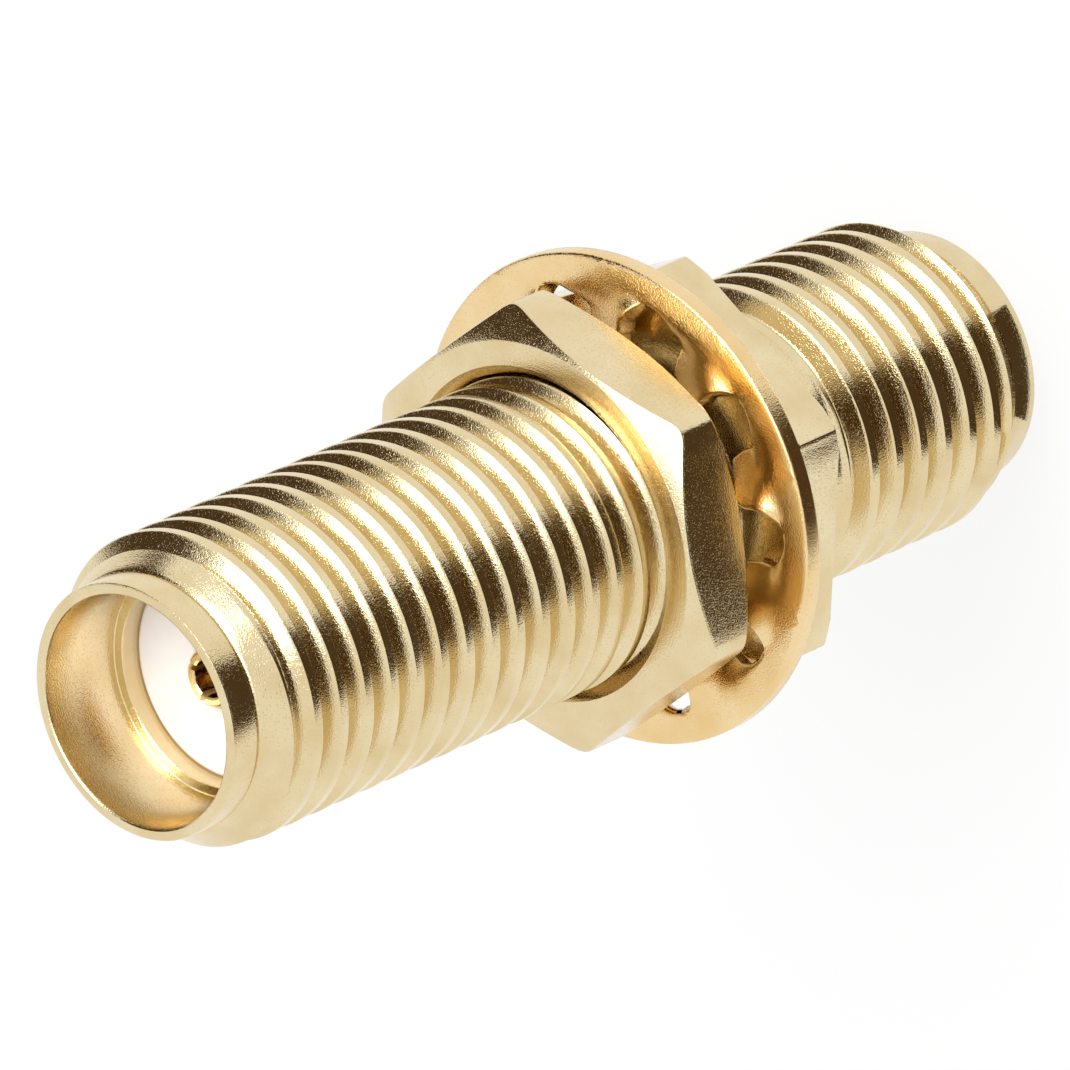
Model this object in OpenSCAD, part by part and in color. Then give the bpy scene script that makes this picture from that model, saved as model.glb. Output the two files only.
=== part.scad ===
// Bulkhead coaxial adapter, socket to socket: one turned body with a threaded barrel each side of a
// hexagon flange, a slotted centre contact held between two insulators, a lock washer and a hexagon nut.
// It stands on its rear end. +Z runs up the axis to the front mouth, and Z = 0 is the rear end face.

/* [Barrels] */
// Length of the rear barrel, from the rear end face to the flange
rear_len = 7.44; // [6:0.05:12]
// Length of the front barrel, from the flange to the front end face
front_len = 14.05; // [11:0.05:24]
// Outside diameter of the coupling thread
thread_d = 6.24; // [6:0.02:6.35]
// Pitch of the coupling thread, 36 turns to the inch
pitch = 0.7056; // [0.6:0.0001:0.8]
// Radial depth of the thread
thread_depth = 0.36; // [0.2:0.01:0.4]
// Width of the flat on each thread crest
crest_w = 0.22; // [0.1:0.01:0.24]
// Diameter of the plain land at each end
pilot_d = 5.12; // [5:0.02:5.4]
// Length of the plain land at each end
pilot_len = 0.65; // [0.4:0.05:1]
// Length of the cone that leads from the land onto the thread
lead_len = 0.7; // [0.4:0.05:1.2]
// Length of the plain neck between the flange and the rear thread
rear_neck_len = 1.45; // [0.8:0.05:2.5]
// Length of the plain neck between the flange and the front thread
front_neck_len = 0.8; // [0.4:0.05:1.5]
// Break on the outer edge of each end face
end_break = 0.06; // [0.02:0.01:0.1]

/* [Flange] */
// Thickness of the hexagon flange
flange_t = 1.31; // [1:0.05:2.5]
// Width of the flange across its flats
flange_af = 7.94; // [7.5:0.02:9]
// Diameter at which the corner bevel meets the flange's faces
flange_bevel_d = 8.7; // [8:0.05:9]
// Angle of the corner bevels on the flange and on the nut
bevel_angle = 30; // [15:1:40]

/* [Mouths] */
// Diameter of the mouth that takes the mating shell
mouth_d = 4.62; // [4.5:0.01:4.75]
// Depth of the mouth down to its shoulder
mouth_depth = 1.9; // [1.5:0.02:2.5]
// Break on the inner edge of each mouth
mouth_break = 0.05; // [0.02:0.01:0.1]
// Diameter of the bore between the two mouths
bore_d = 4.2; // [4:0.02:4.4]

/* [Insulators] */
// Depth of each insulator's face below the mouth's shoulder
insulator_sink = 0.4; // [0.1:0.02:1]
// How much larger than the bore each pressed-in insulator is, on the radius
insulator_press = 0.01; // [0.005:0.005:0.02]
// Break on the outer edge of each insulator's face
insulator_break = 0.09; // [0.03:0.01:0.2]

/* [Centre contact] */
// Outside diameter of the contact
contact_d = 1.27; // [1.2:0.01:1.4]
// Diameter of the socket hole at each end
socket_d = 0.94; // [0.88:0.01:1]
// Depth of each socket hole
socket_depth = 3; // [2.6:0.1:4]
// How far each socket stands above its insulator
contact_stand = 0.27; // [0.1:0.01:0.4]
// Width of the slots between the spring tines
slot_w = 0.13; // [0.08:0.01:0.15]
// Length of the slots between the spring tines
slot_len = 2.4; // [1.5:0.1:2.6]
// Number of tines at each end
tines = 4; // [2:1:4]
// Taper of the outer edge at each tip, on the radius
tip_break = 0.1; // [0.04:0.01:0.14]
// Diameter of the collar that the insulators hold
collar_d = 1.8; // [1.5:0.05:2.4]
// Length of the collar
collar_len = 0.6; // [0.4:0.05:1.2]
// Clearance round the contact in its insulators, on the radius
contact_gap = 0.02; // [0.01:0.005:0.05]

/* [Lock washer] */
// Outside diameter of the washer
washer_d = 9.92; // [9.4:0.02:11]
// Thickness of the washer's strip
washer_t = 0.4; // [0.3:0.02:0.5]
// Radial width of the plain rim outside the gaps
rim_w = 0.65; // [0.5:0.05:0.9]
// Number of internal teeth
teeth = 10; // [8:1:12]
// Diameter across the tips of the teeth
tooth_tip_d = 6.5; // [6.45:0.02:6.7]
// Width of each gap between teeth, where it meets the rim
gap_w = 1.16; // [0.9:0.02:1.2]
// Width of a tooth at its tip
tip_w = 0.84; // [0.6:0.02:0.9]
// Twist of each tooth about its own length
tooth_twist = 20; // [10:1:26]
// Turn of the washer about the axis from the flange's corners
washer_turn = 12.6; // [0:0.2:36]

/* [Nut] */
// Width of the nut across its flats
nut_af = 7.94; // [7.5:0.02:9]
// Thickness of the nut
nut_t = 1.6; // [1.4:0.05:3]
// Diameter at which the corner bevel meets the nut's faces
nut_bevel_d = 7.74; // [7.2:0.02:7.9]
// Diameter of the mouth of the countersink at each end of the nut's thread
countersink_d = 6.74; // [6.5:0.02:7]
// Space between the lock washer's teeth and the nut
nut_gap = 0.46; // [0:0.01:4]
// Turn of the nut about the axis from the flange's corners
nut_turn = 14.7; // [0:0.1:60]
// Running clearance of the nut on the thread, on the radius
nut_clearance = 0.05; // [0.02:0.01:0.1]

/* [Hidden] */
$fn = 48;
// A cutter reaches this far past the face that it opens
past = 0.2;
// A loose piece lies this far above the face that carries it
lie = 0.01;

thread_r = thread_d / 2;
root_r = thread_r - thread_depth;
flank_w = thread_depth * tan(30);
pilot_r = pilot_d / 2;
mouth_r = mouth_d / 2;
bore_r = bore_d / 2;
flange_top = rear_len + flange_t;
front_end = flange_top + front_len;

insulator_r = bore_r + insulator_press;
rear_insulator_z = mouth_depth + insulator_sink;
front_insulator_z = front_end - mouth_depth - insulator_sink;
collar_z = (rear_insulator_z + front_insulator_z) / 2;

contact_r = contact_d / 2;
contact_low = rear_insulator_z - contact_stand;
contact_high = front_insulator_z + contact_stand;

// The teeth stand out of the strip on both sides, by what their twist lifts their edges
tooth_root_r = washer_d / 2 - rim_w;
gap_r = gap_w / 2;
gap_centre_r = tooth_root_r - gap_r;
root_w = 2 * gap_centre_r * sin(180 / teeth) - gap_w;
tooth_w = max(root_w, tip_w);
tooth_lift = (tooth_w * sin(tooth_twist) + washer_t * cos(tooth_twist) - washer_t) / 2;
washer_z = flange_top + lie + tooth_lift;
nut_z = washer_z + washer_t + tooth_lift + nut_gap;

// Outline points of a thread, from the first crest at z up to the last: crest, flank and root for each turn
function thread(z, turns) =
    [for (i = [0 : turns])
        let (foot = z + i * pitch,
             crest = [[thread_r, foot], [thread_r, foot + crest_w]],
             groove = [[root_r, foot + crest_w + flank_w], [root_r, foot + pitch - flank_w]])
        each i < turns ? concat(crest, groove) : crest];

// Whole turns of thread whose crests fit in a length
function whole_turns(length) = floor((length - crest_w) / pitch);

// A hexagon prism with its corners bevelled back to a circle on both faces
module bevelled_hexagon(across_flats, thickness, bevel_d) {
    corner_r = across_flats / 2 / cos(30);
    bevel_h = max(corner_r - bevel_d / 2, 0.01) * tan(bevel_angle);
    intersection() {
        rotate(30)
            cylinder(r = corner_r, h = thickness, $fn = 6);
        rotate_extrude()
            polygon([[0, 0], [bevel_d / 2, 0], [corner_r, bevel_h],
                     [corner_r, thickness - bevel_h], [bevel_d / 2, thickness], [0, thickness]]);
    }
}

// Half section of the turned blank: lands, leads, both threads and the necks beside the flange
module blank_section() {
    rear_lead_z = pilot_len + lead_len;
    rear_turns = whole_turns(rear_len - rear_neck_len - rear_lead_z);
    rear_top_z = rear_lead_z + rear_turns * pitch + crest_w;
    front_lead_z = front_end - pilot_len - lead_len;
    front_turns = whole_turns(front_lead_z - flange_top - front_neck_len);
    front_foot_z = front_lead_z - crest_w - front_turns * pitch;
    polygon(concat(
        [[0, 0], [pilot_r - end_break, 0], [pilot_r, end_break], [pilot_r, pilot_len]],
        thread(rear_lead_z, rear_turns),
        [[root_r, rear_top_z + flank_w], [root_r, front_foot_z - flank_w]],
        thread(front_foot_z, front_turns),
        [[pilot_r, front_end - pilot_len], [pilot_r, front_end - end_break],
         [pilot_r - end_break, front_end], [0, front_end]]));
}

// Half section of the space through the body: two mouths and the bore between them
module bore_section() {
    polygon([[0, -past], [mouth_r + mouth_break + past, -past],
             [mouth_r, mouth_break], [mouth_r, mouth_depth], [bore_r, mouth_depth],
             [bore_r, front_end - mouth_depth], [mouth_r, front_end - mouth_depth],
             [mouth_r, front_end - mouth_break],
             [mouth_r + mouth_break + past, front_end + past], [0, front_end + past]]);
}

// The body, turned from hexagon bar
module body() {
    color([0.85, 0.76, 0.52])
        difference() {
            union() {
                rotate_extrude()
                    blank_section();
                translate([0, 0, rear_len])
                    bevelled_hexagon(flange_af, flange_t, flange_bevel_d);
            }
            rotate_extrude()
                bore_section();
        }
}

// One insulator, from its inner face at Z = 0 to its open face, with a seat for half of the collar
module insulator(length) {
    color([0.96, 0.95, 0.95])
        difference() {
            union() {
                cylinder(r = insulator_r, h = length - insulator_break);
                translate([0, 0, length - insulator_break])
                    cylinder(r1 = insulator_r, r2 = insulator_r - insulator_break, h = insulator_break);
            }
            translate([0, 0, -past])
                cylinder(r = contact_r + contact_gap, h = length + 2 * past);
            translate([0, 0, -past])
                cylinder(r = collar_d / 2 + contact_gap, h = past + collar_len / 2 + lie);
        }
}

module front_insulator() {
    translate([0, 0, collar_z + lie / 2])
        insulator(front_insulator_z - collar_z - lie / 2);
}

module rear_insulator() {
    translate([0, 0, collar_z - lie / 2])
        mirror([0, 0, 1])
            insulator(collar_z - lie / 2 - rear_insulator_z);
}

// Half of the contact, from the middle of its collar at Z = 0 up to one open, slotted tip
module half_contact(length) {
    difference() {
        union() {
            cylinder(r = collar_d / 2, h = collar_len / 2);
            cylinder(r = contact_r, h = length - tip_break);
            translate([0, 0, length - tip_break])
                cylinder(r1 = contact_r, r2 = contact_r - tip_break, h = tip_break);
        }
        translate([0, 0, length - socket_depth])
            cylinder(d = socket_d, h = socket_depth + past);
        for (i = [0 : tines - 1])
            rotate(360 * (i + 0.5) / tines)
                translate([0, -slot_w / 2, length - slot_len])
                    cube([contact_r + past, slot_w, slot_len + past]);
    }
}

module centre_contact() {
    color([0.84, 0.68, 0.4])
        translate([0, 0, collar_z])
            union() {
                half_contact(contact_high - collar_z);
                mirror([0, 0, 1])
                    half_contact(collar_z - contact_low);
            }
}

// A tooth lies along +X, twisted about its own length, with its root inside the rim
module tooth() {
    tip_r = tooth_tip_d / 2;
    reach = gap_centre_r + gap_r / 2;
    translate([0, 0, washer_t / 2])
        rotate([-tooth_twist, 0, 0])
            translate([0, 0, -washer_t / 2])
                linear_extrude(washer_t)
                    polygon([[tip_r, -tip_w / 2], [gap_centre_r, -root_w / 2], [reach, -root_w / 2],
                             [reach, root_w / 2], [gap_centre_r, root_w / 2], [tip_r, tip_w / 2]]);
}

// The rim: a flat ring whose inner edge is scalloped by the round ends of the gaps
module washer_rim() {
    linear_extrude(washer_t)
        difference() {
            circle(d = washer_d, $fn = 96);
            circle(r = gap_centre_r, $fn = 96);
            for (i = [0 : teeth - 1])
                rotate(360 * (i + 0.5) / teeth)
                    translate([gap_centre_r, 0])
                        circle(r = gap_r, $fn = 24);
        }
}

module lock_washer() {
    color([0.83, 0.7, 0.42])
        translate([0, 0, washer_z])
            rotate(washer_turn)
                union() {
                    washer_rim();
                    for (i = [0 : teeth - 1])
                        rotate(360 * i / teeth)
                            tooth();
                }
}

// Half section of the nut's hole: a clearing bore with a countersink at each end
module nut_hole_section() {
    hole_r = thread_r + nut_clearance;
    sink_r = countersink_d / 2;
    sink_h = sink_r - hole_r;
    polygon([[0, -past], [sink_r + past, -past], [hole_r, sink_h], [hole_r, nut_t - sink_h],
             [sink_r + past, nut_t + past], [0, nut_t + past]]);
}

module hex_nut() {
    color([0.85, 0.76, 0.52])
        translate([0, 0, nut_z])
            rotate(nut_turn)
                difference() {
                    bevelled_hexagon(nut_af, nut_t, nut_bevel_d);
                    rotate_extrude()
                        nut_hole_section();
                }
}

body();
front_insulator();
rear_insulator();
centre_contact();
lock_washer();
hex_nut();
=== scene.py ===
"""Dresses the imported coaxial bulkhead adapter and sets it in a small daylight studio.

The CAD solids carry plain rings for threads, and washer teeth that twist in one step. Here every piece is
turned, cut or stamped as the real one is: helical threads with rounded crests, a tapped nut that runs on
them, a washer with smoothly twisted teeth, a slotted contact with rounded lips, and gold plate with its
grain and turning marks.
"""

import logging
import math
from abc import ABC, abstractmethod
from dataclasses import dataclass, field
from enum import Enum
from typing import ClassVar

import bmesh
import bpy
import numpy as np
from mathutils import Matrix, Vector


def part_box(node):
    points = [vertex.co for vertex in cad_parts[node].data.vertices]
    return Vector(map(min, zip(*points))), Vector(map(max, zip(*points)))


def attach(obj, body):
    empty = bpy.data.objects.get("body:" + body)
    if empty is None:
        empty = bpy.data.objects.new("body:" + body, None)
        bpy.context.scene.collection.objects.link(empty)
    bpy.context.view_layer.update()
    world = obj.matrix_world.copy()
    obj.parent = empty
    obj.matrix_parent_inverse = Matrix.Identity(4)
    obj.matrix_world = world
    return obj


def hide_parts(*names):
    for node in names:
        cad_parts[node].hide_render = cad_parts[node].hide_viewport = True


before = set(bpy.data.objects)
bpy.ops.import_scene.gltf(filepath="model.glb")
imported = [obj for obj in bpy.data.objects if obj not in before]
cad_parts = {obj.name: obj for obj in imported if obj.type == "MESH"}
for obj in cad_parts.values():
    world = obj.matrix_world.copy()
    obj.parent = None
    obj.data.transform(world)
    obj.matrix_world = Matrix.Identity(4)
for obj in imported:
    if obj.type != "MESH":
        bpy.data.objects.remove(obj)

Socket = bpy.types.NodeSocket
Colour = tuple[float, float, float]

LOG = logging.getLogger("adapter")
MM = 0.001
TURN = 2 * math.pi
# Points closer than this, in metres, become one.
WELD = 2e-7
# Steps across a rounded edge, as shares of its width.
EASE = np.array([0, 0.29, 1.0])
# Lathe marks to the millimetre, and how little they change round the axis.
LATHE_LINES = 22.0
LATHE_DRIFT = 0.0006


class Slot(Enum):
    """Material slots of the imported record."""

    BODY = "gold_plate"
    INSULATOR = "insulator"
    CONTACT = "contact_gold"
    WASHER = "washer_gold"
    NUT = "nut_gold"


class Marks(Enum):
    """How a metal surface was made, which sets the fine lines on it."""

    TURNED = "turned"
    STAMPED = "stamped"


def soft_min(a: np.ndarray, b: np.ndarray, width: float) -> np.ndarray:
    """The lesser of two values, rounded where they cross.

    Args:
        a: First values.
        b: Second values.
        width: Difference below which the two are blended.

    Returns:
        The blended lesser values.
    """
    overlap = np.maximum(width - np.abs(a - b), 0)
    return np.minimum(a, b) - overlap * overlap / (4 * width)


def soft_max(a: np.ndarray, b: np.ndarray, width: float) -> np.ndarray:
    """The greater of two values, rounded where they cross."""
    return -soft_min(-np.asarray(a, float), -np.asarray(b, float), width)


def smooth_step(low: float, high: float, value: np.ndarray) -> np.ndarray:
    """Eases from 0 at low to 1 at high."""
    t = np.clip((value - low) / (high - low), 0, 1)
    return t * t * (3 - 2 * t)


class Skin:
    """A mesh gathered from grids of points, in millimetres, that meet along shared rows."""

    def __init__(self) -> None:
        """Starts with no points and no faces."""
        self.points: list[np.ndarray] = []
        self.faces: list[tuple[int, ...]] = []
        self.count = 0

    def add(self, points: np.ndarray) -> int:
        """Adds points.

        Args:
            points: Points in millimetres, in an array of any shape that ends in 3.

        Returns:
            The index of the first.
        """
        start = self.count
        self.points.append(np.asarray(points, float).reshape(-1, 3))
        self.count += len(self.points[-1])
        return start

    def grid(self, rows: np.ndarray, shift: int = 0, closed: bool = True) -> None:
        """Joins rows of points with four-sided faces.

        Args:
            rows: Points as rows by columns by 3.
            shift: Rows by which the last column runs on into the first, for a helix.
            closed: Whether the last column joins the first.
        """
        height, width = rows.shape[:2]
        start = self.add(rows)

        def index(row: int, column: int) -> int:
            """Index of one point of the grid."""
            return start + row * width + column

        for row in range(height - 1):
            for column in range(width if closed else width - 1):
                wrap = column == width - 1
                right, lift = (0, shift) if wrap else (column + 1, 0)
                if row + 1 + lift >= height:
                    continue
                self.faces.append((index(row, column), index(row + lift, right),
                                   index(row + 1 + lift, right), index(row + 1, column)))

    def object(self, name: str, sharp_deg: float) -> bpy.types.Object:
        """Welds the grids into one mesh object.

        Args:
            name: The object's name.
            sharp_deg: Edges that turn by this or more are shaded sharp.

        Returns:
            The new object, in metres.
        """
        mesh = bpy.data.meshes.new(name)
        mesh.from_pydata((np.concatenate(self.points) * MM).tolist(), [], self.faces)
        made = bmesh.new()
        made.from_mesh(mesh)
        bmesh.ops.remove_doubles(made, verts=made.verts, dist=WELD)
        bmesh.ops.dissolve_degenerate(made, edges=made.edges, dist=WELD)
        loose = [v for v in made.verts if not v.link_faces]
        bmesh.ops.delete(made, geom=loose, context="VERTS")
        bmesh.ops.recalc_face_normals(made, faces=made.faces)
        limit = math.radians(sharp_deg)
        for face in made.faces:
            face.smooth = True
        for edge in made.edges:
            if len(edge.link_faces) == 2:
                edge.smooth = edge.calc_face_angle(0) < limit
        made.to_mesh(mesh)
        open_edges = sum(len(e.link_faces) != 2 for e in made.edges)
        made.free()
        piece = bpy.data.objects.new(name, mesh)
        bpy.context.scene.collection.objects.link(piece)
        LOG.info("%s: %d faces, %d open edges", name, len(mesh.polygons), open_edges)
        return piece


def rings(outline: list[tuple[float, float]], angles: np.ndarray) -> np.ndarray:
    """Turns an outline about the axis.

    Args:
        outline: Radius and height of each ring.
        angles: Azimuth of each column, in radians.

    Returns:
        Points as rings by columns by 3.
    """
    radius, height = np.array(outline, float).T
    return cylinder_points(radius[:, None], angles[None, :], height[:, None])


def cylinder_points(radius: np.ndarray, angle: np.ndarray, height: np.ndarray) -> np.ndarray:
    """Points from radius, azimuth and height, which may be of different but matching shapes."""
    radius, angle, height = np.broadcast_arrays(radius, angle, height)
    return np.stack([radius * np.cos(angle), radius * np.sin(angle), height], -1)


@dataclass(frozen=True)
class ThreadForm:
    """The form of the coupling thread. Sizes are in millimetres."""

    pitch: float = 0.7056
    crest_r: float = 3.12
    depth: float = 0.36
    crest_w: float = 0.22
    crest_round: float = 0.04
    root_round: float = 0.03
    bend_w: float = 0.03
    flank_deg: float = 30.0
    steps: int = 20

    def turn(self) -> tuple[np.ndarray, np.ndarray]:
        """Samples one pitch, starting at the middle of a crest and closer at the bends.

        Returns:
            Heights over the pitch, and the radii at them.
        """
        flank_w = self.depth * math.tan(math.radians(self.flank_deg))
        bends = self.crest_w / 2 + np.array([0, flank_w])
        near = bends[:, None] + self.bend_w * np.array([-1, -0.35, 0.35, 1])
        half = np.sort(np.concatenate([[0, bends.mean()], near.ravel()]))
        height = np.concatenate([half, [self.pitch / 2], self.pitch - half[:0:-1]])
        return height, self.radius(height)

    def radius(self, height: np.ndarray) -> np.ndarray:
        """Radius of the thread at heights from the middle of a crest.

        Args:
            height: Heights in millimetres.

        Returns:
            The radius at each.
        """
        away = np.abs((height + self.pitch / 2) % self.pitch - self.pitch / 2)
        flank = self.crest_r - (away - self.crest_w / 2) / math.tan(math.radians(self.flank_deg))
        rounded = soft_min(flank, np.full_like(flank, self.crest_r), self.crest_round)
        return soft_max(rounded, np.full_like(flank, self.crest_r - self.depth), self.root_round)

    def rows(self, angles: np.ndarray, low: float, high: float,
             crest_z: float) -> tuple[np.ndarray, np.ndarray]:
        """Heights and radii of helical rows that cover a length of thread.

        Args:
            angles: Azimuth of each column, within one turn.
            low: Height at which the rows start.
            high: Height at which they end.
            crest_z: Height of a crest at azimuth 0.

        Returns:
            Heights, and the thread's radius at each, as rows by columns. They reach past both ends.
        """
        step, radius = self.turn()
        first = math.floor((low - crest_z) / self.pitch) - 2
        last = math.ceil((high - crest_z) / self.pitch) + 2
        height = np.concatenate([crest_z + k * self.pitch + step for k in range(first, last)])
        rise = self.pitch * angles / TURN
        return height[:, None] + rise[None, :], np.tile(radius, last - first)[:, None] + 0 * rise[None, :]


@dataclass(frozen=True)
class HexagonBlock:
    """A slice of hexagon bar with its corners bevelled to a circle on both faces."""

    across_flats: float
    thickness: float
    bevel_r: float
    bevel_angle: float = 30.0
    corner_round: float = 0.012
    edge_break: float = 0.025
    beside_deg: ClassVar[tuple[float, ...]] = (-1.3, -0.5, 0.5, 1.3)

    def columns(self, around: int) -> np.ndarray:
        """Azimuths for the columns of a skin, closer together beside the six corners.

        Args:
            around: Number of evenly spaced columns.

        Returns:
            Those columns and the ones beside the corners, in order.
        """
        even = np.arange(around) * TURN / around
        near = np.radians(self.beside_deg)
        corners = np.radians(30 + 60 * np.arange(6))
        return np.unique(np.concatenate([even, (corners[:, None] + near).ravel()]).round(9))

    def radius(self, angles: np.ndarray) -> np.ndarray:
        """Radius of the hexagon, with its six edges barely rounded.

        Args:
            angles: Azimuths, with the middle of a flat at 0.

        Returns:
            The radius at each.
        """
        half = self.across_flats / 2
        flats = np.array([half / np.maximum(np.cos(angles - k * TURN / 6), 0.05) for k in range(6)])
        ordered = np.sort(flats, axis=0)
        return soft_min(ordered[0], ordered[1], self.corner_round * 4)

    def rows(self, angles: np.ndarray) -> tuple[np.ndarray, np.ndarray]:
        """Radius and height of the rows from the lower face's edge to the upper face's edge.

        Args:
            angles: Azimuth of each column.

        Returns:
            Radii and heights as rows by columns.
        """
        hexagon = self.radius(angles)
        face_r = np.minimum(hexagon, self.bevel_r)
        drop = (hexagon - face_r) * math.tan(math.radians(self.bevel_angle))
        slope = np.hypot(hexagon - face_r, drop)
        e = self.edge_break
        share = np.minimum(e / np.maximum(slope, 1e-9), 0.5)
        merge = np.clip(1 - slope / (2 * e), 0, 1) * EASE[1] * e
        low_r = [face_r - e, face_r + share * (hexagon - face_r) - merge,
                 hexagon - share * (hexagon - face_r) - merge, hexagon]
        low_z = [0 * drop, share * drop + merge, drop - share * drop + merge, drop + e]
        radius = np.array(low_r + low_r[::-1])
        height = np.array(low_z + [self.thickness - z for z in low_z[::-1]])
        return radius, height


@dataclass(frozen=True)
class GoldFinish:
    """Gold plate over turned or stamped brass."""

    name: str
    tone: Colour
    deep_tone: Colour
    marks: Marks
    gloss: tuple[float, float] = (0.04, 0.11)
    grain_um: float = 4.0
    lines_um: float = 1.8
    pits_um: float = 1.2

    def material(self) -> bpy.types.Material:
        """Builds the finish as a node material.

        Returns:
            The new material.
        """
        graph = Graph(self.name)
        place = graph.node("ShaderNodeTexCoord").outputs["Object"]
        tone_noise = graph.noise(place, 0.9, 3)
        tone = graph.mix_colour(graph.ramp(tone_noise, 0.35, 0.7), self.tone, self.deep_tone)
        pits = graph.ramp(graph.noise(place, 30.0, 1), 0.6, 0.7)
        colour = graph.mix_colour(pits, tone, self.deep_tone)
        patches = graph.noise(place, 2.2, 4)
        rough = graph.remap(patches, 0.3, 0.7, *self.gloss)
        grain = graph.noise(place, 34.0, 1)
        waves = graph.noise(place, 4.0, 2)
        bump = graph.bump(grain, self.grain_um, graph.bump(pits, -self.pits_um))
        bump = graph.bump(waves, self.grain_um * 0.25, bump)
        if self.marks is Marks.TURNED:
            lines = graph.noise(graph.turning(place), 1.0, 3)
            bump = graph.bump(lines, self.lines_um, bump)
        graph.surface(colour, rough, bump, metallic=1.0)
        return graph.material


@dataclass(frozen=True)
class FluoropolymerFinish:
    """White fluoropolymer, slightly waxy."""

    name: str = "white_fluoropolymer"
    tone: Colour = (0.93, 0.91, 0.93)
    shade: Colour = (0.89, 0.86, 0.88)

    def material(self) -> bpy.types.Material:
        """Builds the finish as a node material.

        Returns:
            The new material.
        """
        graph = Graph(self.name)
        place = graph.node("ShaderNodeTexCoord").outputs["Object"]
        cloud = graph.ramp(graph.noise(place, 1.1, 3), 0.35, 0.7)
        colour = graph.mix_colour(cloud, self.tone, self.shade)
        rough = graph.remap(graph.noise(place, 6.0, 3), 0.3, 0.7, 0.34, 0.5)
        lines = graph.noise(graph.turning(place), 1.0, 2)
        bump = graph.bump(lines, 0.4, graph.bump(graph.noise(place, 18.0, 2), 0.3))
        shader = graph.surface(colour, rough, bump, metallic=0.0)
        shader.inputs["Subsurface Weight"].default_value = 0.1
        shader.inputs["Subsurface Radius"].default_value = (1.0, 0.95, 0.9)
        shader.inputs["Subsurface Scale"].default_value = 0.0003
        shader.inputs["IOR"].default_value = 1.38
        return graph.material


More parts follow.
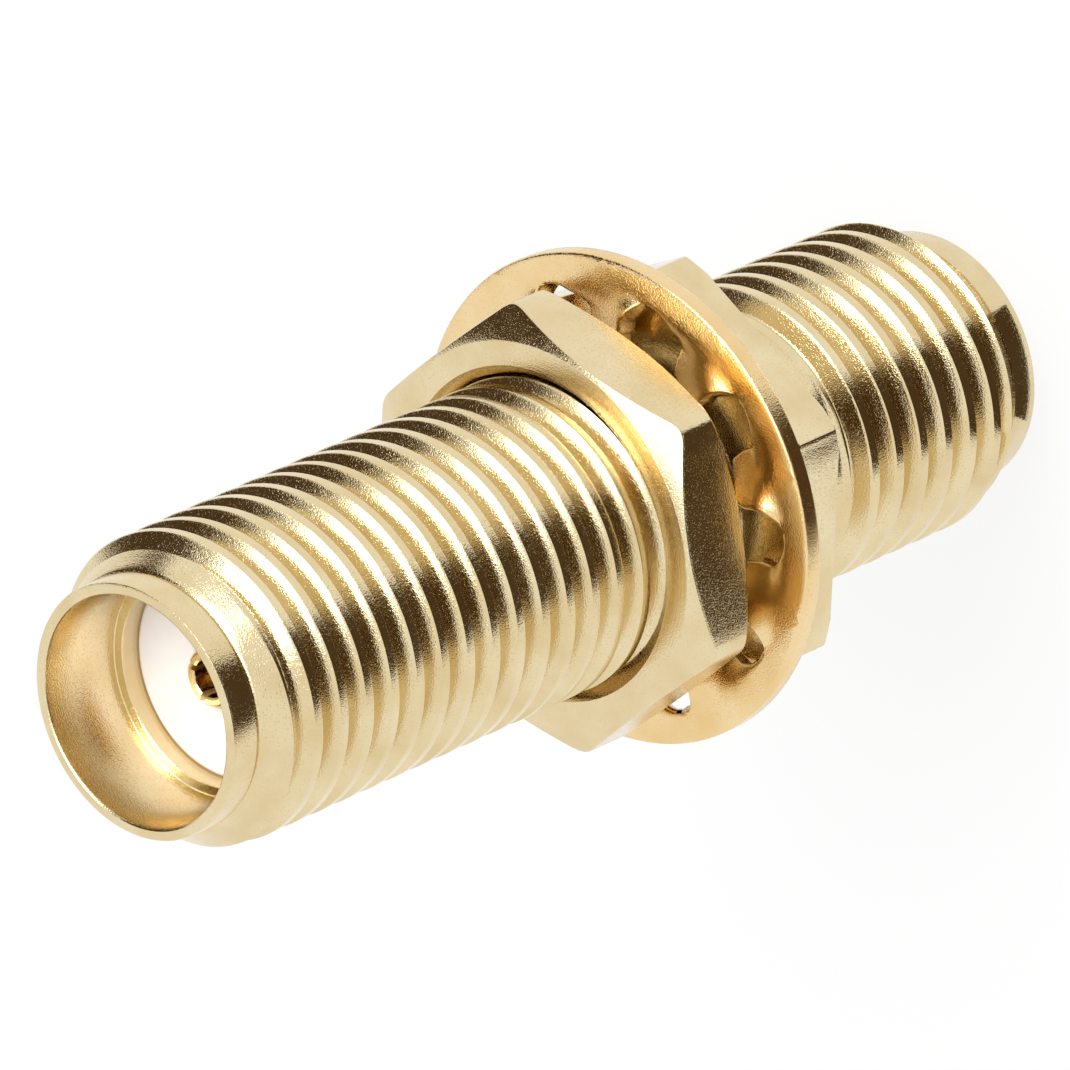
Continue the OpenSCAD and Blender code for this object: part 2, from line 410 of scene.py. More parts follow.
class Graph:
    """Writes a material's nodes. Scales are per millimetre."""

    def __init__(self, name: str) -> None:
        """Starts an empty material with an output node."""
        self.material = bpy.data.materials.new(name)
        self.material.use_nodes = True
        self.tree = self.material.node_tree
        self.tree.nodes.clear()
        self.output = self.node("ShaderNodeOutputMaterial")

    def node(self, kind: str) -> bpy.types.Node:
        """Adds a node of that kind."""
        return self.tree.nodes.new(kind)

    def link(self, source: Socket, target: Socket) -> None:
        """Joins two sockets."""
        self.tree.links.new(source, target)

    def noise(self, place: Socket, per_mm: float, detail: float) -> Socket:
        """A noise value, from 0 to 1.

        Args:
            place: Coordinates in metres.
            per_mm: Features to the millimetre.
            detail: Octaves of finer noise.

        Returns:
            The value.
        """
        made = self.node("ShaderNodeTexNoise")
        made.inputs["Scale"].default_value = per_mm / MM
        made.inputs["Detail"].default_value = detail
        self.link(place, made.inputs["Vector"])
        return made.outputs["Fac"]

    def remap(self, value: Socket, low: float, high: float, to_low: float,
              to_high: float) -> Socket:
        """Maps a range of values onto another, and holds it there.

        Args:
            value: The value to map.
            low: Value that becomes to_low.
            high: Value that becomes to_high.
            to_low: Start of the new range.
            to_high: End of the new range.

        Returns:
            The mapped value.
        """
        made = self.node("ShaderNodeMapRange")
        for name, number in (("From Min", low), ("From Max", high), ("To Min", to_low), ("To Max", to_high)):
            made.inputs[name].default_value = number
        self.link(value, made.inputs["Value"])
        return made.outputs["Result"]

    def ramp(self, value: Socket, low: float, high: float) -> Socket:
        """Maps a range of values onto 0 to 1."""
        return self.remap(value, low, high, 0, 1)

    def math(self, operation: str, first: Socket, second: Socket | float | None = None) -> Socket:
        """A sum on one or two values.

        Args:
            operation: Blender's name for it.
            first: First value.
            second: Second value, where the operation takes one.

        Returns:
            The result.
        """
        made = self.node("ShaderNodeMath")
        made.operation = operation
        self.link(first, made.inputs[0])
        if isinstance(second, (int, float)):
            made.inputs[1].default_value = second
        elif second is not None:
            self.link(second, made.inputs[1])
        return made.outputs["Value"]

    def mix_colour(self, share: Socket, one: Colour | Socket, two: Colour) -> Socket:
        """A colour between two.

        Args:
            share: 0 for the first colour, 1 for the second.
            one: First colour, fixed or from another node.
            two: Second colour.

        Returns:
            The mixed colour.
        """
        made = self.node("ShaderNodeMix")
        made.data_type = "RGBA"
        self.link(share, made.inputs["Factor"])
        if isinstance(one, tuple):
            made.inputs["A"].default_value = (*one, 1)
        else:
            self.link(one, made.inputs["A"])
        made.inputs["B"].default_value = (*two, 1)
        return made.outputs["Result"]

    def turning(self, place: Socket) -> Socket:
        """Coordinates whose noise runs as fine lines round the axis, as a lathe tool leaves them.

        Args:
            place: The piece's own coordinates.

        Returns:
            Radius, height and azimuth, scaled for noise of 1 feature to the millimetre.
        """
        parts = self.node("ShaderNodeSeparateXYZ")
        self.link(place, parts.inputs["Vector"])
        x, y, z = (parts.outputs[axis] for axis in "XYZ")
        square = self.math("ADD", self.math("MULTIPLY", x, x), self.math("MULTIPLY", y, y))
        radius = self.math("SQRT", square)
        around = self.math("ARCTAN2", y, x)
        joined = self.node("ShaderNodeCombineXYZ")
        self.link(self.math("MULTIPLY", radius, LATHE_LINES), joined.inputs["X"])
        self.link(self.math("MULTIPLY", z, LATHE_LINES), joined.inputs["Y"])
        self.link(self.math("MULTIPLY", around, LATHE_DRIFT), joined.inputs["Z"])
        return joined.outputs["Vector"]

    def bump(self, height: Socket, depth_um: float,
             before: Socket | None = None) -> Socket:
        """Raises the surface by a value.

        Args:
            height: The value, from 0 to 1.
            depth_um: Height of the full range, in thousandths of a millimetre.
            before: A normal to add to.

        Returns:
            The new normal.
        """
        made = self.node("ShaderNodeBump")
        made.inputs["Distance"].default_value = depth_um * 1e-6
        self.link(height, made.inputs["Height"])
        if before is not None:
            self.link(before, made.inputs["Normal"])
        return made.outputs["Normal"]

    def surface(self, colour: Socket, rough: Socket, normal: Socket,
                metallic: float) -> bpy.types.Node:
        """Ends the graph in a shader.

        Args:
            colour: Base colour.
            rough: Roughness.
            normal: Surface normal.
            metallic: 1 for a metal, 0 otherwise.

        Returns:
            The shader node.
        """
        shader = self.node("ShaderNodeBsdfPrincipled")
        shader.inputs["Metallic"].default_value = metallic
        self.link(colour, shader.inputs["Base Color"])
        self.link(rough, shader.inputs["Roughness"])
        self.link(normal, shader.inputs["Normal"])
        self.link(shader.outputs["BSDF"], self.output.inputs["Surface"])
        return shader


@dataclass
class Piece(ABC):
    """One real piece, made in the place of its CAD node. Sizes are in millimetres."""

    node: str
    rides_on: ClassVar[str]
    slot: ClassVar[Slot]

    @abstractmethod
    def build(self) -> bpy.types.Object:
        """Makes the piece's mesh object."""

    def span(self) -> tuple[float, float]:
        """Lowest and highest point of the CAD node."""
        low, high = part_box(self.node)
        return low[2] / MM, high[2] / MM

    def dress(self, finish: bpy.types.Material) -> None:
        """Builds the piece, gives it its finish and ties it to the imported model.

        Args:
            finish: The piece's material.
        """
        piece = self.build()
        piece.data.materials.append(finish)
        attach(piece, self.rides_on)
        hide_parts(self.node)


@dataclass
class Body(Piece):
    """The turned body: two threaded barrels, hexagon flange, mouths and bore."""

    rides_on = "shell"
    slot = Slot.BODY
    flange_low: float = 7.44
    flange: HexagonBlock = HexagonBlock(7.94, 1.31, 4.35)
    form: ThreadForm = ThreadForm()
    first_crest: float = 1.51
    rear_crest: float = 1.99
    around: int = 120
    land_r: float = 2.56
    land: float = 0.65
    lead_slope: float = 0.8
    lead_in: float = 0.16
    neck_r: float = 2.76
    rear_neck: float = 5.92
    front_neck: float = 9.85
    mouth_r: float = 2.31
    mouth_depth: float = 1.9
    bore_r: float = 2.1
    edge: float = 0.06
    nose: float = 0.018
    corner: float = 0.02
    rim: float = 0.05
    groove: float = 0.035
    run_out: float = 0.05
    neck_run: float = 0.1
    fillet: float = 0.12
    fillet_bend: float = 0.035
    blend: float = 0.02

    def front_crest(self) -> float:
        """Height at which a crest of the front thread passes azimuth 0."""
        return self.span()[1] - self.first_crest

    def end_outline(self) -> list[tuple[float, float]]:
        """The turned outline of a barrel's open end.

        Returns:
            Radius and depth from the mouth's shoulder to the foot of the lead cone.
        """
        e, n, c, g = self.edge, self.nose, self.corner, self.groove
        return [(self.bore_r, self.mouth_depth + c), (self.bore_r + c, self.mouth_depth),
                (self.mouth_r - c, self.mouth_depth), (self.mouth_r, self.mouth_depth - c),
                (self.mouth_r, e), (self.mouth_r + c, n), (self.mouth_r + self.rim, 0),
                (self.land_r - e, 0), (self.land_r - n, n), (self.land_r, e),
                (self.land_r, self.land - 2 * c), (self.land_r - g, self.land - c),
                (self.land_r - g, self.land + c),
                (self.cone(0.05) - 0.015, self.land + 2 * c), (self.cone(e), self.land + e),
                (self.cone(self.lead_in), self.land + self.lead_in)]

    def cone(self, beyond: float) -> float:
        """Radius of the lead cone at a distance beyond the end land."""
        return self.land_r + self.lead_slope * beyond

    def barrel(self, angles: np.ndarray, low: float, high: float, crest: float, lead: float, neck: float,
               up: bool) -> np.ndarray:
        """Helical rows of one barrel, from its land to its neck.

        Args:
            angles: Azimuth of each column.
            low: Lower end of the rows.
            high: Upper end of the rows.
            crest: Height of a crest at azimuth 0.
            lead: Height at which the lead cone meets the land.
            neck: Height at which the thread's end meets the neck.
            up: Whether the barrel's open end is up.

        Returns:
            Points as rows by columns by 3.
        """
        height, thread = self.form.rows(angles, low, high, crest)
        sign = 1 if up else -1
        cone = self.cone((lead - height) * sign)
        end = soft_max(self.neck_r + (height - neck) * sign, np.full_like(height, self.neck_r), self.run_out)
        radius = soft_min(soft_min(thread, cone, self.blend), end, self.blend)
        low_r, high_r = (self.neck_r, self.cone(self.lead_in))[::sign]
        radius = np.where(height <= low, low_r, np.where(height >= high, high_r, radius))
        return cylinder_points(radius, angles[None, :], np.clip(height, low, high))

    def build(self) -> bpy.types.Object:
        """Makes the body as one closed mesh.

        Returns:
            The body's object.
        """
        angles = self.flange.columns(self.around)
        skin = Skin()
        ends = self.end_outline()
        top = self.span()[1]
        rear_low, rear_high = self.land + self.lead_in, self.rear_neck + self.neck_run
        front_low, front_high = self.front_neck - self.neck_run, top - rear_low
        skin.grid(rings(ends, angles))
        skin.grid(self.barrel(angles, rear_low, rear_high, self.rear_crest, self.land, self.rear_neck, False),
                  shift=self.form.steps)
        face, roof = self.flange_low, self.flange_low + self.flange.thickness
        radius, height = self.flange.rows(angles)
        neck = [(self.neck_r, self.fillet), (self.neck_r + self.fillet_bend, self.fillet_bend),
                (self.neck_r + self.fillet, 0)]
        under = rings([(self.neck_r, rear_high)] + [(r, face - away) for r, away in neck], angles)
        block = cylinder_points(radius, angles[None, :], height + face)
        over = rings([(r, roof + away) for r, away in neck[::-1]] + [(self.neck_r, front_low)], angles)
        skin.grid(np.concatenate([under, block, over]))
        skin.grid(self.barrel(angles, front_low, front_high, self.front_crest(), top - self.land,
                              self.front_neck, True),
                  shift=self.form.steps)
        skin.grid(rings([(r, top - z) for r, z in ends[::-1]], angles))
        skin.grid(rings([(self.bore_r, top - ends[0][1]), (self.bore_r, ends[0][1])], angles))
        return skin.object("adapter_body", 28)


@dataclass
class Insulator(Piece):
    """One fluoropolymer insulator, with a bevelled open face."""

    rides_on = "shell"
    slot = Slot.INSULATOR
    opens_up: bool = True
    outer_r: float = 2.098
    hole_r: float = 0.655
    collar_r: float = 0.92
    bevel: float = 0.09
    bevel_bend: float = 0.35
    hole_break: float = 0.03
    collar_depth: float = 0.32
    around: int = 96

    def build(self) -> bpy.types.Object:
        """Makes the insulator as one closed mesh.

        Returns:
            The insulator's object.
        """
        angles = np.arange(self.around) * TURN / self.around
        up = 1 if self.opens_up else -1
        inner, face = self.span()[::up]
        bend = self.bevel * self.bevel_bend
        step = inner + up * self.collar_depth
        outline = [(self.collar_r, inner), (self.outer_r, inner), (self.outer_r, face - up * self.bevel),
                   (self.outer_r - bend, face - up * bend), (self.outer_r - self.bevel, face),
                   (self.hole_r + self.hole_break, face), (self.hole_r, face - up * self.hole_break),
                   (self.hole_r, step), (self.collar_r, step), (self.collar_r, inner)]
        skin = Skin()
        skin.grid(rings(outline, angles))
        return skin.object(self.node + "_turned", 20)


@dataclass
class Contact(Piece):
    """The one-piece centre contact, with a slotted socket at each end."""

    rides_on = "shell"
    slot = Slot.CONTACT
    contact_r: float = 0.635
    hole_r: float = 0.47
    hole_depth: float = 3.0
    slot_w: float = 0.13
    slot_len: float = 2.4
    collar_r: float = 0.9
    collar_len: float = 0.6
    collar_break: float = 0.04
    drill_point: float = 0.25
    tines: int = 4
    steps: int = 14

    def angles(self, radius: float) -> np.ndarray:
        """Azimuths of the columns at a radius.

        Args:
            radius: The radius. The slots stay open down to 0.3 mm and narrow no further inside it.

        Returns:
            The azimuths. The first and last of each tine lie on the walls of the slots.
        """
        half = math.asin(self.slot_w / 2 / max(radius, 0.3))
        sector = TURN / self.tines
        tine = np.linspace(half - sector / 2, sector / 2 - half, self.steps)
        return (tine[None, :] + sector * np.arange(self.tines)[:, None]).ravel()

    def ring(self, radius: float, height: float) -> np.ndarray:
        """One ring of points."""
        return cylinder_points(np.array(radius), self.angles(radius), np.array(height))

    def half(self, skin: Skin, up: int) -> None:
        """Adds the half of the contact from its middle to one tip.

        Args:
            skin: The skin to add to.
            up: 1 for the upper half, -1 for the lower.
        """
        low, high = self.span()
        middle, length = (low + high) / 2, (high - low) / 2
        foot = length - self.slot_len
        c, r, h = self.collar_r, self.contact_r, self.hole_r
        shoulder, k = self.collar_len / 2, self.collar_break
        lower = [(c, 0), (c, shoulder - k), (c - k, shoulder), (r, shoulder), (r, foot)]
        lip = [(r, foot), (r, length - 0.6), (r - 0.02, length - 0.3), (r - 0.045, length - 0.1),
               (r - 0.08, length - 0.03), (r - 0.125, length), (h - 0.05, length), (h - 0.09, length - 0.03),
               (h - 0.105, length - 0.08), (h - 0.09, length - 0.3), (h, length - 0.9), (h, foot)]
        bottom = length - self.hole_depth
        hole = [(h, foot), (h, bottom), (0.02, bottom - self.drill_point)]
        lower, slotted, hole = (np.array([self.ring(a, middle + up * b) for a, b in outline])
                                for outline in (lower, lip, hole))
        skin.grid(lower)
        skin.grid(hole)
        start = skin.add(slotted)
        width, rows = slotted.shape[1], len(lip)
        for column in range(width):
            after = (column + 1) % width
            if column % self.steps == self.steps - 1:
                inner = start + (rows - 1) * width
                skin.faces.append((start + column, start + after, inner + after, inner + column))
                skin.faces.append(tuple(start + row * width + column for row in range(rows)))
                skin.faces.append(tuple(start + row * width + after for row in range(rows)))
                continue
            for row in range(rows - 1):
                low = start + row * width
                skin.faces.append((low + column, low + after, low + width + after, low + width + column))
        last = hole[-1]
        centre = skin.add(np.array([[0, 0, last[0, 2]]]))
        first = skin.add(last)
        for column in range(width):
            skin.faces.append((first + column, first + (column + 1) % width, centre))

    def build(self) -> bpy.types.Object:
        """Makes the contact as one closed mesh.

        Returns:
            The contact's object.
        """
        skin = Skin()
        self.half(skin, 1)
        self.half(skin, -1)
        return skin.object("centre_contact_pin", 30)


@dataclass
class LockWasher(Piece):
    """The stamped lock washer, with ten twisted internal teeth."""

    rides_on = "washer"
    slot = Slot.WASHER
    turn_deg: float = 12.6
    outer_r: float = 4.945
    root_r: float = 4.31
    gap_r: float = 0.58
    tip_r: float = 3.25
    tip_w: float = 0.84
    thickness: float = 0.4
    twist_deg: float = 20.0
    twist_out: float = 0.02
    twist_in: float = 0.5
    teeth: int = 10
    edge_break: float = 0.06
    across: int = 6

    def half_sector(self) -> tuple[np.ndarray, np.ndarray]:
        """Lays out half a tooth with its share of the rim.

        Returns:
            Points on the middle line of the tooth and round the rim, and the points across from them on the
            edge of the gap. Both are points by 2, in the plane of the washer, with the tooth along +X.
        """
        half = math.pi / self.teeth
        centre_r = self.root_r - self.gap_r
        centre = centre_r * np.array([math.cos(half), math.sin(half)])
        root_w = 2 * (centre_r * math.sin(half) - self.gap_r)
        along = np.linspace(self.tip_r, centre_r * math.cos(half), 9)
        along = np.concatenate([self.tip_r + EASE * self.edge_break, along[1:]])
        grown = (along - along[0]) / (along[-1] - along[0])
        edge = [(r, (self.tip_w + (root_w - self.tip_w) * t) / 2) for r, t in zip(along, grown)]
        line = [(r, 0.0) for r in along]
        swing = np.linspace(-math.pi / 2, half, 15)[1:]
        edge += [tuple(centre + self.gap_r * np.array([math.cos(a), math.sin(a)])) for a in swing]
        reach = np.linspace(along[-1], self.outer_r - self.edge_break, 7)[1:]
        reach = np.append(reach, self.outer_r - EASE[1::-1] * self.edge_break)
        line += [(r, 0.0) for r in reach]
        round_rim = np.linspace(0, half, 7)[1:]
        line += [(self.outer_r * math.cos(a), self.outer_r * math.sin(a)) for a in round_rim]
        return np.array(line), np.array(edge)

    def bent(self, flat: np.ndarray) -> np.ndarray:
        """Twists the tooth about its own length.

        The twist starts just outside the edge of the gap, so the walls of neighbouring teeth don't quite meet
        in the middle of a gap, and the mesh is open there.

        Args:
            flat: Points in the plane of the washer, with the tooth along +X.

        Returns:
            The points in space.
        """
        x, y = flat[..., 0], flat[..., 1]
        share = smooth_step(self.root_r + self.twist_out, self.root_r - self.twist_in, np.hypot(x, y))
        angle = -math.radians(self.twist_deg) * share
        return np.stack([x, y * np.cos(angle), y * np.sin(angle)], -1)

    def normals(self, flat: np.ndarray) -> np.ndarray:
        """Unit normals of the bent sheet.

        Args:
            flat: Points in the plane of the washer.

        Returns:
            The normal at each.
        """
        step = 1e-4
        along = self.bent(flat + np.array([step, 0])) - self.bent(flat)
        across = self.bent(flat + np.array([0, step])) - self.bent(flat)
        normal = np.cross(along, across)
        return normal / np.linalg.norm(normal, axis=-1, keepdims=True)

    def half_tooth(self, side: int) -> list[np.ndarray]:
        """Half a tooth with its share of the rim, as grids of points.

        Args:
            side: 1 for the half on the tooth's left, -1 for the other.

        Returns:
            Upper face, lower face and the three edges.
        """
        line, edge = self.half_sector()
        length = np.hypot(*(edge - line).T)
        b = self.edge_break
        inset = EASE * b
        whole = np.linspace(0, 1, self.across)[1:-1]
        share = np.concatenate([inset[:, None] / length, np.tile(whole[:, None], len(length)),
                                1 - inset[::-1, None] / length])
        flat = line * (1 - share[..., None]) + edge * share[..., None]
        away = np.minimum.reduce([self.outer_r - np.hypot(*np.moveaxis(flat, -1, 0)), (1 - share) * length,
                                  flat[..., 0] - self.tip_r])
        lowered = b * np.interp(away / b, EASE, EASE[::-1])
        on_rim = np.hypot(*line.T) > self.outer_r - 1e-6
        flat[..., 1] *= side
        lift = (self.thickness / 2 - lowered)[..., None] * self.normals(flat)
        upper, lower = self.bent(flat) + lift, self.bent(flat) - lift
        tip = np.stack([lower[:, 0], upper[:, 0]])
        gap = np.stack([lower[-1], upper[-1]])
        rim = np.stack([lower[0, on_rim], upper[0, on_rim]])
        return [upper, lower, tip, gap, rim]

    def build(self) -> bpy.types.Object:
        """Makes the washer as one mesh.

        Returns:
            The washer's object.
        """
        skin = Skin()
        halves = self.half_tooth(1) + self.half_tooth(-1)
        for tooth in range(self.teeth):
            angle = math.radians(self.turn_deg) + TURN * tooth / self.teeth
            c, s = math.cos(angle), math.sin(angle)
            for grid in halves:
                turned = grid @ np.array([[c, s, 0], [-s, c, 0], [0, 0, 1]])
                skin.grid(turned + np.array([0, 0, sum(self.span()) / 2]), closed=False)
        return skin.object("lock_washer_ring", 50)


@dataclass
class Nut(Piece):
    """The hexagon nut, tapped to run on the barrel's thread."""

    rides_on = "nut"
    slot = Slot.NUT
    crest_z: float
    turn_deg: float = 14.7
    block: HexagonBlock = HexagonBlock(7.94, 1.6, 3.87, corner_round=0.07)
    form: ThreadForm = ThreadForm()
    clearance: float = 0.04
    minor_r: float = 2.86
    sink_r: float = 3.37
    sink_edge: float = 0.03
    sink_slope: float = 1.1
    root_blend: float = 0.04
    sink_blend: float = 0.02
    around: int = 120

    def build(self) -> bpy.types.Object:
        """Makes the nut as one closed mesh.

        Returns:
            The nut's object.
        """
        local = self.block.columns(self.around)
        angles = local + math.radians(self.turn_deg)
        low = self.span()[0]
        high = low + self.block.thickness
        radius, height = self.block.rows(local)
        block = cylinder_points(radius, angles[None, :], height + low)
        mouth = rings([(self.sink_r, low), (self.sink_r + self.sink_edge, low)], angles)
        lid = rings([(self.sink_r + self.sink_edge, high), (self.sink_r, high)], angles)
        skin = Skin()
        skin.grid(np.concatenate([mouth, block, lid]))
        turn = math.radians(self.turn_deg)
        height, thread = self.form.rows(local, low, high, self.crest_z + self.form.pitch * turn / TURN)
        tapped = soft_max(thread + self.clearance, np.full_like(thread, self.minor_r), self.root_blend)
        for distance in (height - low, high - height):
            tapped = soft_max(tapped, self.sink_r - distance * self.sink_slope, self.sink_blend)
        tapped = np.where((height <= low) | (height >= high), self.sink_r, tapped)
        skin.grid(cylinder_points(tapped, angles[None, :], np.clip(height, low, high)), shift=self.form.steps)
        return skin.object("hexagon_nut", 28)


@dataclass
class Lamp:
    """A soft lamp, aimed at the part."""

    name: str
    azimuth: float
    elevation: float
    distance: float
    width: float
    height: float
    power: float

    def place(self, target: Vector) -> None:
        """Puts the lamp in the scene.

        Args:
            target: The point that it faces.
        """
        data = bpy.data.lights.new(self.name, "AREA")
        data.shape, data.size, data.size_y = "RECTANGLE", self.width, self.height
        data.energy = self.power
        lamp = bpy.data.objects.new(self.name, data)
        a, e = math.radians(self.azimuth), math.radians(self.elevation)
        away = Vector((math.cos(a) * math.cos(e), math.sin(a) * math.cos(e), math.sin(e)))
        lamp.location = target + away * self.distance
        lamp.rotation_mode = "QUATERNION"
        lamp.rotation_quaternion = away.to_track_quat("Z", "Y")
        lamp.visible_camera = False
        bpy.context.scene.collection.objects.link(lamp)


@dataclass
class Card(ABC):
    """A dark card of the light tent, seen only in the metal."""

    name: str
    azimuths: tuple[float, float]
    tone: ClassVar[Colour] = (0.08, 0.052, 0.027)
    columns: ClassVar[int] = 25
    sharp_deg: ClassVar[float] = 60

    @abstractmethod
    def points(self, target: Vector) -> np.ndarray:
        """Points of the card in millimetres, as rows by columns by 3."""

    def paper(self) -> bpy.types.Material:
        """A plain paper that shows as its own tone.

        Returns:
            The new material.
        """
        graph = Graph(self.name + "_paper")
        glow = graph.node("ShaderNodeEmission")
        glow.inputs["Color"].default_value = (*self.tone, 1)
        graph.link(glow.outputs["Emission"], graph.output.inputs["Surface"])
        return graph.material

    def place(self, target: Vector) -> None:
        """Puts the card in the scene, hidden from all but mirror-like reflections.

        Args:
            target: The middle of the part.
        """
        skin = Skin()
        skin.grid(self.points(target), closed=False)
        card = skin.object(self.name, self.sharp_deg)
        card.data.materials.append(self.paper())
        card.visible_camera = card.visible_diffuse = card.visible_shadow = card.visible_transmission = False


@dataclass
class DomeCard(Card):
    """A card that is part of a sphere about the part. Its radius is in metres."""

    elevations: tuple[float, float]
    radius: float
    rows: ClassVar[int] = 17

    def points(self, target: Vector) -> np.ndarray:
        """Points of the card.

        Args:
            target: The sphere's centre.

        Returns:
            Points in millimetres, as rows by columns by 3.
        """
        a = np.radians(np.linspace(*self.azimuths, self.columns))[None, :]
        e = np.radians(np.linspace(*self.elevations, self.rows))[:, None]
        away = np.stack([np.cos(a) * np.cos(e), np.sin(a) * np.cos(e), np.sin(e) + 0 * a], -1)
        return away * self.radius / MM + np.array(target) / MM


@dataclass
class FloorCard(Card):
    """A card that lies just above the floor, round the part's foot. Its sizes are in metres."""

    near: float
    far: float
    height: float = 0.00005

    def points(self, target: Vector) -> np.ndarray:
        """Points of the card, in two rings about the part's axis."""
        angles = np.radians(np.linspace(*self.azimuths, self.columns))
        return rings([(r / MM, self.height / MM) for r in (self.near, self.far)], angles)


def seen_or_mirrored(tree: bpy.types.NodeTree) -> Socket:
    """Tells what is looked at from what only gives light.

    Args:
        tree: The node tree to add to.

    Returns:
        1 for what the camera sees directly, in metal or through glass, and 0 for the rest.
    """
    path = tree.nodes.new("ShaderNodeLightPath")
    value = path.outputs["Is Camera Ray"]
    for kind in ("Is Glossy Ray", "Is Transmission Ray"):
        either = tree.nodes.new("ShaderNodeMath")
        either.operation = "MAXIMUM"
        tree.links.new(value, either.inputs[0])
        tree.links.new(path.outputs[kind], either.inputs[1])
        value = either.outputs["Value"]
    return value


@dataclass(frozen=True)
class Viewpoint:
    """Where the camera stands and how it is aimed."""

    tilt_deg: float = 47.29826
    roll_deg: float = -23.94596
    turn_deg: float = 96.3
    distance: float = 0.44955
    target_z: float = 0.0118
    lens_mm: float = 792.619
    sensor_mm: float = 36.0
    aim_right_mm: float = -0.127356
    aim_up_mm: float = -0.045225

    def place(self) -> None:
        """Puts the camera in the scene, with the front mouth towards it."""
        tilt, roll, turn = (math.radians(a) for a in (self.tilt_deg, self.roll_deg, self.turn_deg))
        axis = Vector((0, 0, -1))
        left, up = Vector((math.cos(turn), math.sin(turn), 0)), Vector((math.sin(turn), -math.cos(turn), 0))
        look = axis * math.cos(tilt) + left * math.sin(tilt)
        side = axis * math.sin(tilt) - left * math.cos(tilt)
        right = side * math.cos(roll) + up * math.sin(roll)
        above = -side * math.sin(roll) + up * math.cos(roll)
        aim_right, aim_up = self.aim_right_mm * MM / self.distance, self.aim_up_mm * MM / self.distance
        forward = (look - right * aim_right - above * aim_up).normalized()
        right = (right - forward * right.dot(forward)).normalized()
        above = right.cross(forward)
        data = bpy.data.cameras.new("studio_camera")
        data.sensor_width = self.sensor_mm
        data.lens = self.lens_mm
        data.clip_start, data.clip_end = 0.01, 10.0
        camera = bpy.data.objects.new("studio_camera", data)
        camera.matrix_world = Matrix((right, above, -forward)).transposed().to_4x4()
        camera.location = Vector((0, 0, self.target_z)) - look * self.distance
        bpy.context.scene.collection.objects.link(camera)
        bpy.context.scene.camera = camera


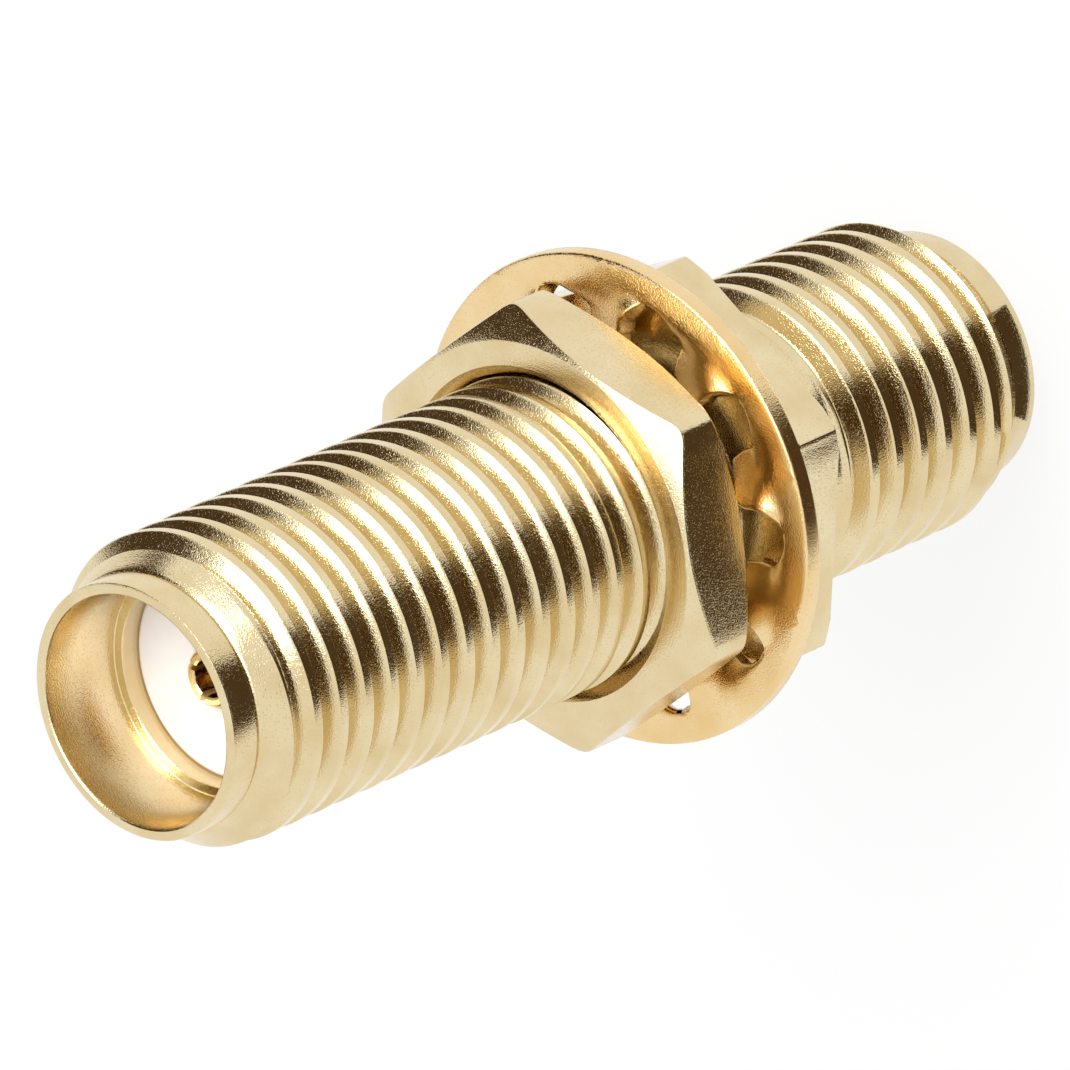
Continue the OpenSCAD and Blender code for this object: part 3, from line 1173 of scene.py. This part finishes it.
@dataclass
class Studio:
    """Floor, backdrop, lamps, cards and camera. Lengths are in metres."""

    middle: Vector
    daylight: float = 0.68
    floor_tone: float = 0.93
    floor_glow: float = 0.86
    floor_r: float = 0.5
    floor_hub_r: float = 0.01
    floor_z: float = -0.000002
    floor_around: int = 96
    viewpoint: Viewpoint = Viewpoint()
    lamps: list[Lamp] = field(default_factory=list)
    cards: list[Card] = field(default_factory=list)

    def world(self) -> None:
        """An even, pale surround, white behind the part."""
        world = bpy.data.worlds.new("pale_surround")
        world.use_nodes = True
        nodes, links = world.node_tree.nodes, world.node_tree.links
        nodes.clear()
        output = nodes.new("ShaderNodeOutputWorld")
        mix = nodes.new("ShaderNodeMixShader")
        shades = []
        for strength in (self.daylight, 1.0):
            shade = nodes.new("ShaderNodeBackground")
            shade.inputs["Color"].default_value = (1, 1, 1, 1)
            shade.inputs["Strength"].default_value = strength
            shades.append(shade.outputs["Background"])
        links.new(seen_or_mirrored(world.node_tree), mix.inputs["Fac"])
        links.new(shades[0], mix.inputs[1])
        links.new(shades[1], mix.inputs[2])
        links.new(mix.outputs["Shader"], output.inputs["Surface"])
        bpy.context.scene.world = world

    def floor(self) -> None:
        """A pale floor that keeps the part's shadow."""
        graph = Graph("pale_floor")
        paper = graph.node("ShaderNodeBsdfDiffuse")
        paper.inputs["Color"].default_value = (self.floor_tone,) * 3 + (1,)
        glow = graph.node("ShaderNodeEmission")
        mix = graph.node("ShaderNodeMixShader")
        seen = graph.math("MULTIPLY", seen_or_mirrored(graph.tree), self.floor_glow)
        graph.link(seen, mix.inputs["Fac"])
        graph.link(paper.outputs["BSDF"], mix.inputs[1])
        graph.link(glow.outputs["Emission"], mix.inputs[2])
        graph.link(mix.outputs["Shader"], graph.output.inputs["Surface"])
        around = self.floor_around
        angles = np.arange(around) * TURN / around
        height, hub = self.floor_z / MM, self.floor_hub_r / MM
        skin = Skin()
        skin.grid(rings([(self.floor_r / MM, height), (hub, height)], angles))
        centre = skin.add(np.array([[0, 0, height]]))
        first = skin.add(rings([(hub, height)], angles))
        skin.faces += [(first + k, first + (k + 1) % around, centre) for k in range(around)]
        floor = skin.object("studio_floor", 60)
        floor.data.materials.append(graph.material)

    def build(self) -> None:
        """Sets up the whole studio."""
        self.world()
        self.floor()
        for item in self.lamps + self.cards:
            item.place(self.middle)
        self.viewpoint.place()
        bpy.context.scene.view_settings.view_transform = "Standard"


def main() -> None:
    """Builds and dresses every piece, then the studio."""
    logging.basicConfig(level=logging.INFO, format="%(name)s %(message)s")
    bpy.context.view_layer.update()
    plate = GoldFinish("gold_plate_turned", (0.8, 0.675, 0.425), (0.72, 0.57, 0.31), Marks.TURNED).material()
    nut_plate = GoldFinish("gold_plate_nut", (0.8, 0.67, 0.425), (0.73, 0.58, 0.32), Marks.TURNED,
                           gloss=(0.07, 0.15), lines_um=2.2).material()
    # The washer's deeper, more orange tone is partly its own plating and partly painted shade: it stands in
    # for the orange light bounced about in the recess under the nut.
    washer_plate_and_recess_shade = GoldFinish("gold_plate_stamped_and_painted_recess_shade", (0.88, 0.68, 0.38), (0.82, 0.58, 0.27), Marks.STAMPED,
                              gloss=(0.09, 0.18), grain_um=6.0).material()
    pin_plate = GoldFinish("gold_plate_contact", (0.82, 0.62, 0.33), (0.72, 0.48, 0.2), Marks.TURNED,
                           gloss=(0.08, 0.16), grain_um=2.0, lines_um=1.0).material()
    plastic = FluoropolymerFinish().material()

    body = Body("body")
    pieces: list[tuple[Piece, bpy.types.Material]] = [
        (body, plate),
        (Insulator("front_insulator"), plastic),
        (Insulator("rear_insulator", opens_up=False), plastic),
        (Contact("centre_contact"), pin_plate),
        (LockWasher("lock_washer"), washer_plate_and_recess_shade),
        (Nut("hex_nut", body.front_crest()), nut_plate),
    ]
    for piece, finish in pieces:
        piece.dress(finish)
        LOG.info("%s dressed, on body %s", piece.node, piece.rides_on)

    studio = Studio(Vector((0, 0, 0.012)))
    studio.lamps = [Lamp("key_softbox", -38, 60, 0.3, 0.18, 0.26, 0.72)]
    studio.cards = [DomeCard("dark_card_front", (-132, -70), (-2, 20), 0.2),
                    DomeCard("dark_card_side", (14, 60), (8, 56), 0.2),
                    FloorCard("dark_card_floor", (-132, -75), 0.00262, 0.2)]
    studio.build()


if __name__ == "__main__":
    main()
